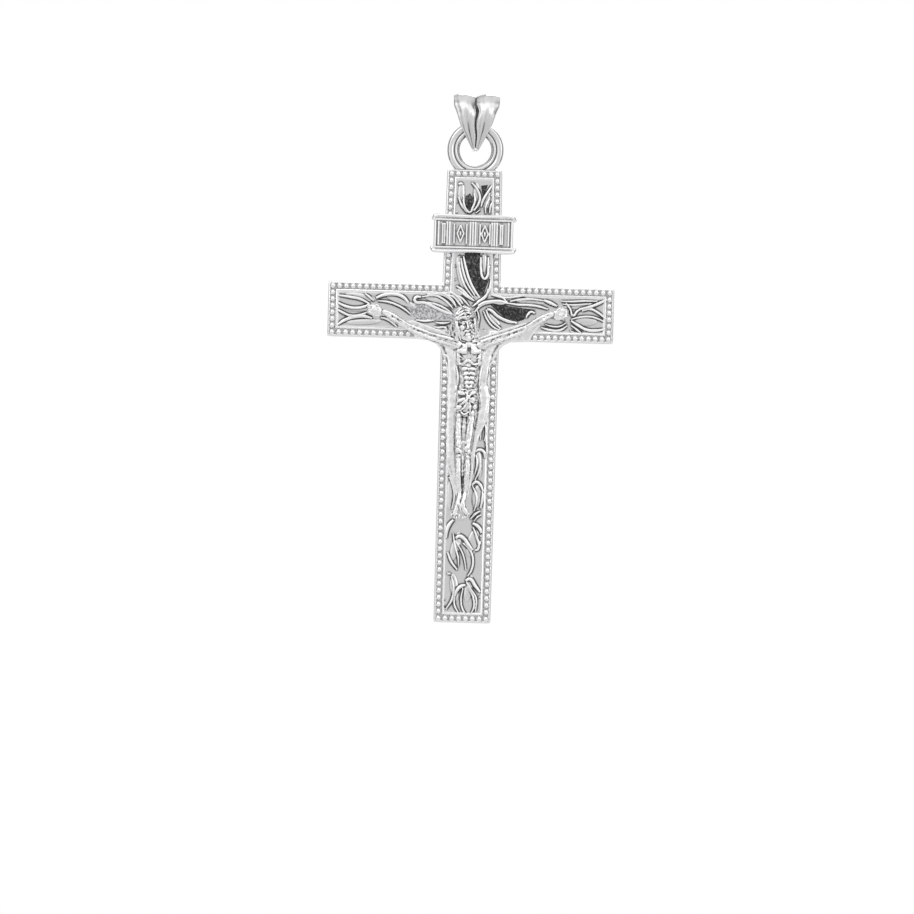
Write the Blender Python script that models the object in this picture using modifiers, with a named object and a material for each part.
"""Crucifix pendant: a cast cross with a beaded edge, a figure pinned to it by three nails, a title plate,
and a fluted bail that swings on the eye ring.  Metres, +Z up, front facing -Y.  The origin is the centre of
the chain's way through the bail, which is what the pendant hangs by."""

import math

import bmesh
import bpy
from mathutils import Matrix, Vector

MM = 0.001
GAP = 0.03 * MM  # the solder line left between two pieces that touch

# Bail: a teardrop loop seen from the side, tapered to a tip seen from the front.
BAIL_HEIGHT = 6.1 * MM
BAIL_LOOP_RADIUS = 2.05 * MM  # outside radius of the loop that the chain runs through
BAIL_TIP_DROP = BAIL_HEIGHT - BAIL_LOOP_RADIUS  # from the chain's centre down to the tip
BAIL_THICKNESS = 0.22 * MM
BAIL_TAPER = ((0.0, 2.46), (1.0, 2.40), (1.9, 2.12), (2.7, 1.88), (3.9, 1.45), (5.9, 0.36), (6.1, 0.24))
BAIL_FLUTES = 4
BAIL_FLUTE_DEPTH = 0.11 * MM
BAIL_LOOP_STEPS = 32
BAIL_STEPS_PER_FLUTE = 3

# Eye ring, fixed to the top of the cross. Its wire is wider than it is deep.
RING_MEAN_RADIUS = 2.33 * MM
RING_HALF_WIDTH = 0.67 * MM
RING_HALF_DEPTH = 0.38 * MM
HINGE_Z = BAIL_LOOP_RADIUS - 3.6 * MM  # centre of the ring's wire where the bail hangs on it
RING_Z = HINGE_Z - RING_MEAN_RADIUS

# Cross plate.
PLATE_TOP = RING_Z - 2.06 * MM
PLATE_HEIGHT = 47.6 * MM
PLATE_SPAN = 30.0 * MM
PLATE_BACK = 0.75 * MM
PLATE_FRONT = -0.25 * MM
PLATE_CORNER = 0.35 * MM
PLATE_EDGE_ROUND = 0.12 * MM
BAR_TOP = PLATE_TOP - 12.1 * MM
BAR_HEIGHT = 5.8 * MM
TOP_HALF_WIDTH = 2.88 * MM
UPRIGHT_HALF_WIDTH = 3.05 * MM
FOOT_HALF_WIDTH = 2.98 * MM

# Beaded wire round the edge, in one run for each side of the cross.
BEAD_RADIUS = 0.31 * MM
BEAD_NECK_RADIUS = 0.18 * MM
BEAD_END_RADIUS = 0.14 * MM
BEAD_PITCH = 0.72 * MM
BEAD_INSET = 0.34 * MM
BEAD_SIDES = 5
BAR_RUN_INNER_END = 6.4 * MM  # the arms of the figure cover the border nearer the middle than this
LOWER_RUN_DROP = 1.9 * MM  # and down to this far under the bar

# Plain frame wire inside the beads.
FRAME_INSET = 0.95 * MM
FRAME_RADIUS = 0.15 * MM

# Grain panels inside the frame.
PANEL_INSET = 1.16 * MM
PANEL_THICKNESS = 0.15 * MM
GRAIN_RISE = 0.16 * MM
GRAIN_HALF_WIDTH = 0.45 * MM
GRAIN_SINK = 0.02 * MM

# Title plate.
TITLE_Z = PLATE_TOP - 6.8 * MM
TITLE_WIDTH = 8.5 * MM
TITLE_HEIGHT = 3.7 * MM
TITLE_THICKNESS = 0.40 * MM
TITLE_BACK = PLATE_FRONT - 2 * BEAD_RADIUS - 2 * GAP
TITLE_RIM_RADIUS = 0.17 * MM
TITLE_BAR_HEIGHT = 2.0 * MM
TITLE_BAR_WIDTH = 0.26 * MM
TITLE_BAR_RISE = 0.16 * MM

# Figure and nails.
FIGURE_BACK = -0.66 * MM
FIGURE_VOXEL = 0.24 * MM
FIGURE_DETAIL_KEPT = 0.24
LEFT_HAND_X = -10.0 * MM
RIGHT_HAND_X = 9.4 * MM
HAND_Z = BAR_TOP - 2.95 * MM
FEET_X = -0.42 * MM
FEET_Z = PLATE_TOP - 35.3 * MM
NAIL_RADIUS = 0.17 * MM
NAIL_HOLE_RADIUS = 0.20 * MM
NAIL_HEAD_RADIUS = 0.36 * MM
NAIL_HEAD_RISE = 0.20 * MM
NAIL_TIP_Y = 0.35 * MM
HAND_FRONT = -1.30 * MM
FEET_FRONT = -1.98 * MM
NAIL_SIDES = 12

METALS = {
    "polished": ((0.83, 0.83, 0.84), 0.12),
    "satin": ((0.74, 0.74, 0.75), 0.32),
}


def clear_scene():
    for old in list(bpy.data.objects):
        bpy.data.objects.remove(old, do_unlink=True)


def collection(name, hidden=False):
    made = bpy.data.collections.new(name)
    made.hide_render = hidden
    bpy.context.scene.collection.children.link(made)
    return made


def metal(name):
    made = bpy.data.materials.get(name) or bpy.data.materials.new(name)
    colour, roughness = METALS[name]
    made.use_nodes = True
    shader = made.node_tree.nodes["Principled BSDF"]
    shader.inputs["Base Color"].default_value = (*colour, 1.0)
    shader.inputs["Roughness"].default_value = roughness
    shader.inputs["Metallic"].default_value = 1.0
    return made


def place(name, mesh, finish, home):
    made = bpy.data.objects.new(name, mesh)
    home.objects.link(made)
    if finish:
        mesh.materials.append(metal(finish))
    return made


def mesh_from(name, build):
    """A mesh made by build(bm), with its normals turned outwards."""
    bm = bmesh.new()
    build(bm)
    bmesh.ops.recalc_face_normals(bm, faces=bm.faces)
    mesh = bpy.data.meshes.new(name)
    bm.to_mesh(mesh)
    bm.free()
    return mesh


def helper(name, mesh, cutters):
    made = place(name, mesh, None, cutters)
    made.hide_render = True
    made.display_type = "WIRE"
    return made


def boolean(target, other, operation):
    step = target.modifiers.new(operation.title(), "BOOLEAN")
    step.operation = operation
    step.object = other


def slab(name, corners, front, back):
    """A mesh of the (x, z) outline, from front to back along Y."""

    def build(bm):
        face = bm.faces.new([bm.verts.new((x, front, z)) for x, z in corners])
        pulled = bmesh.ops.extrude_face_region(bm, geom=[face])["geom"]
        moved = [item for item in pulled if isinstance(item, bmesh.types.BMVert)]
        bmesh.ops.translate(bm, verts=moved, vec=(0, back - front, 0))

    return mesh_from(name, build)


def cross_corners():
    """The cross's corners (x, z), clockwise from the top left."""
    half_span = PLATE_SPAN / 2
    bar_bottom = BAR_TOP - BAR_HEIGHT
    foot = PLATE_TOP - PLATE_HEIGHT
    right = [
        (TOP_HALF_WIDTH, PLATE_TOP),
        (UPRIGHT_HALF_WIDTH, BAR_TOP),
        (half_span, BAR_TOP),
        (half_span, bar_bottom),
        (UPRIGHT_HALF_WIDTH, bar_bottom),
        (FOOT_HALF_WIDTH, foot),
    ]
    return right + [(-x, z) for x, z in reversed(right)]


def inset(corners, distance):
    """The outline moved inwards by distance, for corners listed clockwise."""
    moved = []
    for i, corner in enumerate(corners):
        here = Vector(corner)
        into = (here - Vector(corners[i - 1])).normalized()
        away = (Vector(corners[(i + 1) % len(corners)]) - here).normalized()
        first = Vector((into.y, -into.x))
        second = Vector((away.y, -away.x))
        moved.append(here + (first + second) * distance / (1 + first.dot(second)))
    return moved


def rounded(corners, radius, steps=3):
    """The outline with each corner replaced by a short arc."""
    points = []
    for i, corner in enumerate(corners):
        here = Vector(corner)
        start = here + (Vector(corners[i - 1]) - here).normalized() * radius
        end = here + (Vector(corners[(i + 1) % len(corners)]) - here).normalized() * radius
        for step in range(steps + 1):
            t = step / steps
            points.append(start * (1 - t) ** 2 + here * 2 * t * (1 - t) + end * t**2)
    return points


def bail_path(angle):
    """(y, z, outward normal) of the bail's outer line, at an angle from 0 to 1 round the loop from the tip."""
    centre_to_tip = BAIL_TIP_DROP
    spread = math.asin(BAIL_LOOP_RADIUS / centre_to_tip)
    straight = math.sqrt(centre_to_tip**2 - BAIL_LOOP_RADIUS**2)
    arc = BAIL_LOOP_RADIUS * (math.pi + 2 * spread)
    run = angle * (2 * straight + arc)
    if run < straight:
        normal = (-math.cos(spread), -math.sin(spread))
        return -run * math.sin(spread), -centre_to_tip + run * math.cos(spread), normal
    if run > straight + arc:
        y, z, normal = bail_path(1 - angle)
        return -y, z, (-normal[0], normal[1])
    turn = math.pi + spread - (run - straight) / BAIL_LOOP_RADIUS
    return BAIL_LOOP_RADIUS * math.cos(turn), BAIL_LOOP_RADIUS * math.sin(turn), (math.cos(turn), math.sin(turn))


def bail_half_width(z):
    """Read from the taper, which lists (millimetres below the top, half width)."""
    drop = (BAIL_LOOP_RADIUS - z) / MM
    for (high, wide), (low, narrow) in zip(BAIL_TAPER, BAIL_TAPER[1:]):
        if drop <= low:
            return (wide + (narrow - wide) * (drop - high) / (low - high)) * MM
    return BAIL_TAPER[-1][1] * MM


def make_bail(home):
    """A closed strap round the loop, its width split into convex flutes with a crease between each two."""
    across = BAIL_FLUTES * BAIL_STEPS_PER_FLUTE

    def build(bm):
        rows = []
        for i in range(BAIL_LOOP_STEPS):
            y, z, (ny, nz) = bail_path(i / BAIL_LOOP_STEPS)
            half = bail_half_width(z)
            depth = BAIL_FLUTE_DEPTH * half / (BAIL_TAPER[0][1] * MM)
            row = []
            for j in range(across + 1):
                rise = depth * (abs(math.sin(math.pi * j / BAIL_STEPS_PER_FLUTE)) - 1)
                row.append(bm.verts.new((half * (2 * j / across - 1), y + ny * rise, z + nz * rise)))
            rows.append(row)
        for i, row in enumerate(rows):
            following = rows[(i + 1) % BAIL_LOOP_STEPS]
            for j in range(across):
                bm.faces.new((row[j], row[j + 1], following[j + 1], following[j]))

    bail = place("bail", mesh_from("bail", build), "polished", home)
    wall = bail.modifiers.new("Wall", "SOLIDIFY")
    wall.thickness = BAIL_THICKNESS
    wall.offset = -1
    return bail


def make_eye_ring(home, cutters):
    """A ring of flattened wire, cut flat where it sits on the top of the cross."""
    bpy.ops.mesh.primitive_torus_add(
        major_radius=RING_MEAN_RADIUS,
        minor_radius=RING_HALF_WIDTH,
        major_segments=36,
        minor_segments=10,
        rotation=(math.pi / 2, 0, 0),
    )
    ring = bpy.context.object
    ring.name = "eye_ring"
    flatten = Matrix.Diagonal((1, RING_HALF_DEPTH / RING_HALF_WIDTH, 1, 1))
    ring.data.transform(Matrix.Translation((0, 0, RING_Z)) @ flatten @ ring.matrix_world)
    ring.matrix_world = Matrix.Identity(4)
    for old in list(ring.users_collection):
        old.objects.unlink(ring)
    home.objects.link(ring)
    ring.data.materials.append(metal("polished"))
    size = 4 * RING_MEAN_RADIUS
    seat = helper("ring_seat_cutter", mesh_from("ring_seat_cutter", lambda bm: bmesh.ops.create_cube(bm, size=size)), cutters)
    seat.location = (0, 0, PLATE_TOP + GAP - size / 2)
    boolean(ring, seat, "DIFFERENCE")
    return ring


def round_bar(name, radius, front, back, x, z, sides):
    """A mesh of a plain round bar along Y."""

    def build(bm):
        turn = Matrix.Rotation(math.pi / 2, 4, "X")
        middle = Matrix.Translation((x, (front + back) / 2, z))
        bmesh.ops.create_cone(
            bm,
            cap_ends=True,
            segments=sides,
            radius1=radius,
            radius2=radius,
            depth=back - front,
            matrix=middle @ turn,
        )

    return mesh_from(name, build)


def nail_places():
    """(name, x, z, front face of what the head rests on) of each nail."""
    return (
        ("nail_left_hand", LEFT_HAND_X, HAND_Z, HAND_FRONT),
        ("nail_right_hand", RIGHT_HAND_X, HAND_Z, HAND_FRONT),
        ("nail_feet", FEET_X, FEET_Z, FEET_FRONT),
    )


def make_plate(home, cutters):
    outline = rounded(cross_corners(), PLATE_CORNER)
    plate = place("cross_plate", slab("cross_plate", outline, PLATE_FRONT, PLATE_BACK), "polished", home)
    for name, x, z, _ in nail_places():
        mesh = round_bar(name, NAIL_HOLE_RADIUS, 2 * PLATE_FRONT, NAIL_TIP_Y + GAP, x, z, NAIL_SIDES)
        boolean(plate, helper(name + "_plate_hole", mesh, cutters), "DIFFERENCE")
    edge = plate.modifiers.new("Edge", "BEVEL")
    edge.width = PLATE_EDGE_ROUND
    edge.segments = 2
    edge.limit_method = "ANGLE"
    edge.angle_limit = math.radians(60)
    plate.modifiers.move(len(plate.modifiers) - 1, 0)
    return plate


def make_bead_run(name, start, end, home):
    """A turned row of beads from a bead at start to the last one before end."""
    along = end - start
    count = max(2, round(along.length / BEAD_PITCH))
    pitch = along.length / count
    last = (count - 1) * pitch
    profile = [(-BEAD_RADIUS, BEAD_END_RADIUS)]
    for i in range(count):
        profile.append((i * pitch, BEAD_RADIUS))
        if i < count - 1:
            profile.append(((i + 0.5) * pitch, BEAD_NECK_RADIUS))
    profile.append((last + BEAD_RADIUS, BEAD_END_RADIUS))

    def build(bm):
        rings = []
        for at, radius in profile:
            ring = []
            for side in range(BEAD_SIDES):
                turn = math.tau * side / BEAD_SIDES
                ring.append(bm.verts.new((radius * math.cos(turn), radius * math.sin(turn), at)))
            rings.append(ring)
        for first, second in zip(rings, rings[1:]):
            for side in range(BEAD_SIDES):
                after = (side + 1) % BEAD_SIDES
                bm.faces.new((first[side], first[after], second[after], second[side]))
        bm.faces.new(rings[0])
        bm.faces.new(rings[-1])

    run = place(name, mesh_from(name, build), "polished", home)
    direction = Vector((along.x, 0, along.y)).normalized()
    across = Vector((0, -1, 0))
    sideways = across.cross(direction)
    turn = Matrix((sideways, across, direction)).transposed().to_4x4()
    seat = PLATE_FRONT - GAP - BEAD_RADIUS
    run.matrix_world = Matrix.Translation((start.x, seat, start.y)) @ turn
    return run


def make_beaded_border(home):
    names = (
        "upper_right",
        "bar_right_top",
        "bar_right_end",
        "bar_right_bottom",
        "lower_right",
        "foot",
        "lower_left",
        "bar_left_bottom",
        "bar_left_end",
        "bar_left_top",
        "upper_left",
        "top",
    )
    corners = inset(cross_corners(), BEAD_INSET)
    low = BAR_TOP - BAR_HEIGHT - LOWER_RUN_DROP
    for i, name in enumerate(names):
        start = corners[i].copy()
        end = corners[(i + 1) % len(corners)].copy()
        if name == "bar_right_bottom":
            end.x = BAR_RUN_INNER_END
        if name == "bar_left_bottom":
            start.x = -BAR_RUN_INNER_END
        if name == "lower_right":
            start.y = low
        if name == "lower_left":
            end.y = low
        make_bead_run("beaded_wire_" + name, start, end, home)


def make_frame_wire(home):
    """The plain wire inside the beads, one closed line round the cross."""
    data = bpy.data.curves.new("frame_wire", "CURVE")
    data.dimensions = "3D"
    data.bevel_depth = FRAME_RADIUS
    data.bevel_resolution = 1
    line = rounded(inset(cross_corners(), FRAME_INSET), PLATE_CORNER, steps=2)
    spline = data.splines.new("POLY")
    spline.points.add(len(line) - 1)
    seat = PLATE_FRONT - GAP - FRAME_RADIUS
    for point, (x, z) in zip(spline.points, line):
        point.co = (x, seat, z, 1)
    spline.use_cyclic_u = True
    data.materials.append(metal("polished"))
    wire = bpy.data.objects.new("frame_wire", data)
    home.objects.link(wire)
    return wire


def grain_spindles(name, places):
    """A mesh of long raised strokes, each (x, z, half length, tilt from upright in degrees)."""

    def build(bm):
        for x, z, half_length, tilt in places:
            size = Matrix.Diagonal((GRAIN_HALF_WIDTH, GRAIN_RISE + GRAIN_SINK, half_length, 1))
            turn = Matrix.Rotation(math.radians(tilt), 4, "Y")
            seat = PLATE_FRONT - GAP - PANEL_THICKNESS + GRAIN_SINK
            bmesh.ops.create_uvsphere(
                bm,
                u_segments=4,
                v_segments=4,
                radius=1,
                matrix=Matrix.Translation((x, seat, z)) @ turn @ size,
            )
        for vert in bm.verts:
            vert.co.y = min(vert.co.y, PLATE_FRONT - GAP - PANEL_THICKNESS / 2)

    return mesh_from(name, build)


def make_panel(name, corners, strokes, home, cutters):
    back = PLATE_FRONT - GAP
    panel = place(name, slab(name, corners, back - PANEL_THICKNESS, back), "satin", home)
    boolean(panel, helper(name + "_grain", grain_spindles(name + "_grain", strokes), cutters), "UNION")
    for nail, x, z, _ in nail_places():
        inside = min(c[0] for c in corners) < x < max(c[0] for c in corners)
        if inside and min(c[1] for c in corners) < z < max(c[1] for c in corners):
            mesh = round_bar(nail, NAIL_HOLE_RADIUS, 3 * PLATE_FRONT, 0, x, z, NAIL_SIDES)
            boolean(panel, helper(nail + "_panel_hole", mesh, cutters), "DIFFERENCE")
    return panel


def make_panels(home, cutters):
    """Four textured sheets inside the frame: the head of the upright, two arms and the shaft."""
    line = inset(cross_corners(), PANEL_INSET)
    top_right, bar_corner, bar_far_top, bar_far_low, low_corner, foot_right = line[:6]
    half = bar_corner.x
    head = [
        (-top_right.x, top_right.y),
        (top_right.x, top_right.y),
        (half, bar_corner.y + GAP),
        (-half, bar_corner.y + GAP),
    ]
    shaft = [(-half, bar_corner.y), (half, bar_corner.y), (foot_right.x, foot_right.y), (-foot_right.x, foot_right.y)]
    arm = [
        (half + GAP, bar_far_top.y),
        (bar_far_top.x, bar_far_top.y),
        (bar_far_low.x, bar_far_low.y),
        (half + GAP, low_corner.y),
    ]
    wave = [14, -8, 16, -12, 8, -14]
    shaft_strokes = [
        (half * 0.42 * (-1) ** i, bar_corner.y - 3.2 * MM - i * 2.8 * MM, 2.1 * MM, wave[i % len(wave)])
        for i in range(11)
    ]
    head_strokes = [
        (half * 0.45 * (-1) ** i, top_right.y - 2.2 * MM - i * 2.4 * MM, 1.7 * MM, wave[i % len(wave)])
        for i in range(4)
    ]
    middle = BAR_TOP - BAR_HEIGHT / 2
    arm_strokes = [
        (half + 1.9 * MM + i * 2.05 * MM, middle + 0.8 * MM * (-1) ** i, 1.6 * MM, 90 + wave[i % len(wave)] / 2)
        for i in range(5)
    ]
    make_panel("grain_panel_head", head, head_strokes, home, cutters)
    make_panel("grain_panel_shaft", shaft, shaft_strokes, home, cutters)
    make_panel("grain_panel_right_arm", arm, arm_strokes, home, cutters)
    mirrored = [(-x, z) for x, z in reversed(arm)]
    mirrored_strokes = [(-x, z, length, -tilt) for x, z, length, tilt in arm_strokes]
    make_panel("grain_panel_left_arm", mirrored, mirrored_strokes, home, cutters)


def box_mesh(name, boxes):
    """Several separate boxes, each (centre, size), as one mesh."""

    def build(bm):
        for centre, size in boxes:
            bmesh.ops.create_cube(bm, size=1, matrix=Matrix.Translation(centre) @ Matrix.Diagonal((*size, 1)))

    return mesh_from(name, build)


def make_title(home, cutters):
    front = TITLE_BACK - TITLE_THICKNESS
    centre = (0, (front + TITLE_BACK) / 2, TITLE_Z)
    size = (TITLE_WIDTH, TITLE_THICKNESS, TITLE_HEIGHT)
    plate = place("title_plate", box_mesh("title_plate", [(centre, size)]), "satin", home)
    edge = plate.modifiers.new("Edge", "BEVEL")
    edge.width = PLATE_EDGE_ROUND
    edge.segments = 2
    for name, side in (("title_rim_top", 1), ("title_rim_bottom", -1)):
        bpy.ops.mesh.primitive_cylinder_add(
            vertices=10,
            radius=TITLE_RIM_RADIUS,
            depth=TITLE_WIDTH,
            rotation=(0, math.pi / 2, 0),
            location=(0, front - GAP - TITLE_RIM_RADIUS, TITLE_Z + side * (TITLE_HEIGHT / 2 - TITLE_RIM_RADIUS)),
        )
        rim = bpy.context.object
        rim.name = name
        rim.data.materials.append(metal("polished"))
        for old in list(rim.users_collection):
            old.objects.unlink(rim)
        home.objects.link(rim)
    seat = front - GAP - TITLE_BAR_RISE / 2
    for i, share in enumerate((-0.39, -0.13, 0.13, 0.39)):
        bar = ((share * TITLE_WIDTH, seat, TITLE_Z), (TITLE_BAR_WIDTH, TITLE_BAR_RISE, TITLE_BAR_HEIGHT))
        place(f"title_reed_{i + 1}", box_mesh(f"title_reed_{i + 1}", [bar]), "polished", home)


def figure_lumps():
    """The figure as overlapping rounded masses: (centre, half sizes, turn about Y in degrees), in millimetres,
    measured from the point level with the shoulders' upper line on the cross's axis."""
    both = []
    for side in (-1, 1):
        both += [
            ((side * 1.85, -1.45, -3.75), (1.00, 0.68, 0.74), side * 12),  # shoulder
            ((side * 0.60 - 0.06, -1.70, -4.40), (0.68, 0.52, 0.68), 0),  # chest muscle
            ((side * 4.2, -1.42, -2.88), (2.40, 0.64, 0.66), side * 20),  # upper arm
            ((side * 7.3, -1.25, -1.68), (1.80, 0.54, 0.54), side * 29),  # forearm
            ((side * 8.8, -1.12, -0.95), (1.00, 0.44, 0.46), side * 27),  # wrist
            ((side * 9.7, -1.02, -0.52), (0.98, 0.46, 0.72), side * 12),  # hand
            ((side * 4.0, -0.92, -3.30), (2.60, 0.42, 0.62), side * 17),  # web under the arm
            ((side * 2.3, -0.92, -4.45), (0.72, 0.42, 1.10), side * 30),  # corner of the web
            ((side * 0.54 - 0.32, -1.60, -12.9), (0.56, 0.62, 2.30), side * 3),  # thigh
            ((side * 0.50 - 0.38, -1.85, -15.1), (0.42, 0.48, 0.70), 0),  # knee
            ((side * 0.46 - 0.34, -1.65, -17.6), (0.40, 0.50, 2.30), side * -3),  # shin
        ]
    return both + [
        ((-0.74, -1.95, -1.75), (1.05, 1.05, 1.85), 10),  # head
        ((-0.30, -1.50, -3.35), (0.62, 0.62, 0.90), 0),  # neck
        ((-0.04, -1.35, -4.85), (1.32, 0.86, 1.75), 0),  # rib cage
        ((0.0, -1.40, -7.20), (1.02, 0.66, 1.90), 0),  # waist
        ((-0.15, -1.50, -10.1), (1.20, 0.86, 1.70), 0),  # loincloth
        ((-1.82, -0.86, -10.4), (0.58, 0.32, 7.20), 0),  # drape beside the trunk
        ((1.66, -0.86, -8.8), (0.56, 0.32, 5.60), 0),  # drape on the other side
        ((-0.42, -1.60, -20.8), (0.62, 0.58, 1.25), 0),  # insteps
        ((-0.50, -1.45, -21.8), (0.98, 0.48, 0.52), 0),  # toes
    ]


def make_figure(home, cutters):
    """The rounded masses melted into one casting, flat behind, with a hole for each nail."""
    middle = Vector((0, 0, BAR_TOP - BAR_HEIGHT / 2 + 0.55 * MM))

    def build(bm):
        for centre, half, turn in figure_lumps():
            size = Matrix.Diagonal((*(h * MM for h in half), 1))
            at = Matrix.Translation(Vector(centre) * MM + middle)
            matrix = at @ Matrix.Rotation(math.radians(-turn), 4, "Y") @ size
            bmesh.ops.create_uvsphere(bm, u_segments=20, v_segments=14, radius=1, matrix=matrix)

    figure = place("corpus", mesh_from("corpus", build), "polished", home)
    melt = figure.modifiers.new("Melt", "REMESH")
    melt.mode = "VOXEL"
    melt.voxel_size = FIGURE_VOXEL
    smooth = figure.modifiers.new("Smooth", "SMOOTH")
    smooth.factor = 0.5
    smooth.iterations = 2
    fewer = figure.modifiers.new("Fewer", "DECIMATE")
    fewer.ratio = FIGURE_DETAIL_KEPT
    depth = 4 * MM
    behind = ((0, FIGURE_BACK + depth / 2, middle.z - 10 * MM), (PLATE_SPAN, depth, 2 * 20 * MM))
    boolean(figure, helper("figure_back_cutter", box_mesh("figure_back_cutter", [behind]), cutters), "DIFFERENCE")
    for name, x, z, front in nail_places():
        seat = round_bar(name + "_seat", NAIL_HEAD_RADIUS + 2 * GAP, front - 2 * MM, front, x, z, NAIL_SIDES)
        hole = round_bar(name + "_hole", NAIL_HOLE_RADIUS, front - 2 * MM, 0, x, z, NAIL_SIDES)
        boolean(figure, helper(name + "_head_seat", seat, cutters), "DIFFERENCE")
        boolean(figure, helper(name + "_figure_hole", hole, cutters), "DIFFERENCE")
    return figure


def make_nails(home):
    """Each nail is a turned shape: a domed head, a shank and a blunt point."""
    for name, x, z, front in nail_places():
        seat = front - GAP
        profile = [
            (0, seat - NAIL_HEAD_RISE),
            (NAIL_HEAD_RADIUS * 0.6, seat - NAIL_HEAD_RISE * 0.8),
            (NAIL_HEAD_RADIUS, seat - NAIL_HEAD_RISE * 0.25),
            (NAIL_HEAD_RADIUS, seat),
            (NAIL_RADIUS, seat),
            (NAIL_RADIUS, NAIL_TIP_Y - NAIL_RADIUS),
            (0, NAIL_TIP_Y),
        ]

        def build(bm):
            line = [bm.verts.new((radius, y, 0)) for radius, y in profile]
            edges = [bm.edges.new(pair) for pair in zip(line, line[1:])]
            bmesh.ops.spin(
                bm,
                geom=line + edges,
                cent=(0, 0, 0),
                axis=(0, 1, 0),
                angle=math.tau,
                steps=NAIL_SIDES,
            )
            bmesh.ops.remove_doubles(bm, verts=bm.verts, dist=0.001 * MM)

        nail = place(name, mesh_from(name, build), "polished", home)
        nail.location = (x, 0, z)


def main():
    clear_scene()
    home = collection("crucifix_pendant")
    cutters = collection("cutters", hidden=True)
    make_bail(home)
    make_eye_ring(home, cutters)
    make_plate(home, cutters)
    make_beaded_border(home)
    make_frame_wire(home)
    make_panels(home, cutters)
    make_title(home, cutters)
    make_figure(home, cutters)
    make_nails(home)


main()
